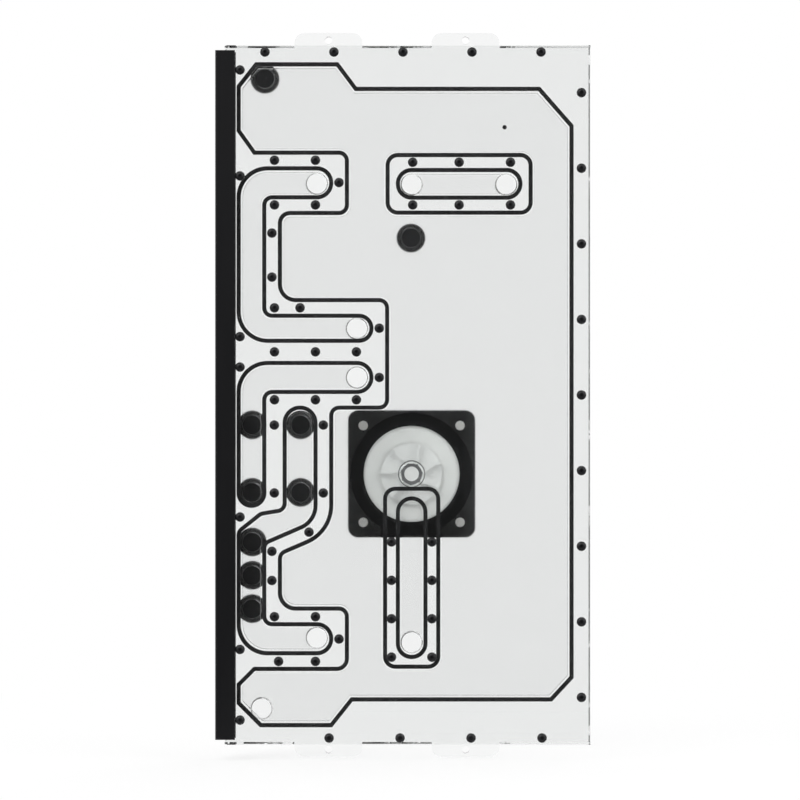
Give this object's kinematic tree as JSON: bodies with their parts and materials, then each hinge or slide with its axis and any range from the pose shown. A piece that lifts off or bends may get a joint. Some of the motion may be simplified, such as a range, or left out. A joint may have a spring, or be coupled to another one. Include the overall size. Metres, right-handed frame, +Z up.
{
  "type": "water cooling distribution plate",
  "caption": "Clear acrylic coolant plate with milled reservoir and channels under a screwed cover, sealed ports, a rear pump and a side light bar.",
  "frame": {"origin": "middle of the four mounting holes, in the plane of the tabs' rear faces", "axes": "+X to the right seen from the front, +Y out of the rear towards the pump side, +Z up"},
  "size_m": [0.22, 0.0711, 0.428],
  "materials": {
    "clear_acrylic": "polished clear acrylic with finely milled pockets",
    "seal_rubber": "matt black rubber cord",
    "black_screw": "blackened steel, satin",
    "black_anodised": "black anodised aluminium, satin",
    "board_white": "white coated circuit board",
    "led_white": "moulded light body with a pale lens",
    "header_plastic": "moulded connector shell",
    "pump_plastic": "black moulded plastic",
    "white_plastic": "white moulded plastic",
    "rotor_plastic": "pale moulded plastic",
    "ferrite": "sintered ferrite",
    "ceramic": "polished ceramic",
    "carbon": "dark carbon bush",
    "nickel": "nickel plated metal"
  },
  "bodies": {
    "plate": {"main_body": "clear_acrylic", "front_cover": "clear_acrylic", "reservoir_seal": "seal_rubber", "upper_channel_seal": "seal_rubber", "middle_channel_seal": "seal_rubber", "lower_channel_seal": "seal_rubber", "crossover_outer_seal": "seal_rubber", "crossover_inner_seal": "seal_rubber", "outlet_outer_seal": "seal_rubber", "outlet_inner_seal": "seal_rubber", "cover_screws": "black_screw", "light_bar": "black_anodised", "light_bar_screws": "black_screw", "light_strip_board": "board_white", "light_strip_leds": "led_white", "light_strip_header": "header_plastic", "port_plugs": "black_anodised", "plug_seals": "seal_rubber", "vent_screw": "black_screw", "pump_flange": "black_anodised", "pump_housing": "pump_plastic", "pump_end_cap": "pump_plastic", "cable_gland": "seal_rubber", "pump_screws": "black_screw", "pump_inserts": "nickel", "pump_seal": "seal_rubber", "rotor_can": "white_plastic", "bearing_post": "ceramic"},
    "rotor": {"impeller": "rotor_plastic", "rotor_magnet": "ferrite", "bearing_bush": "carbon"}
  },
  "joints": [
    {"name": "rotor_spin", "type": "hinge", "parent": "plate", "child": "rotor", "pos_m": [0.0086, 0, -0.0465], "axis": [0, 1, 0], "continuous": true}
  ]
}
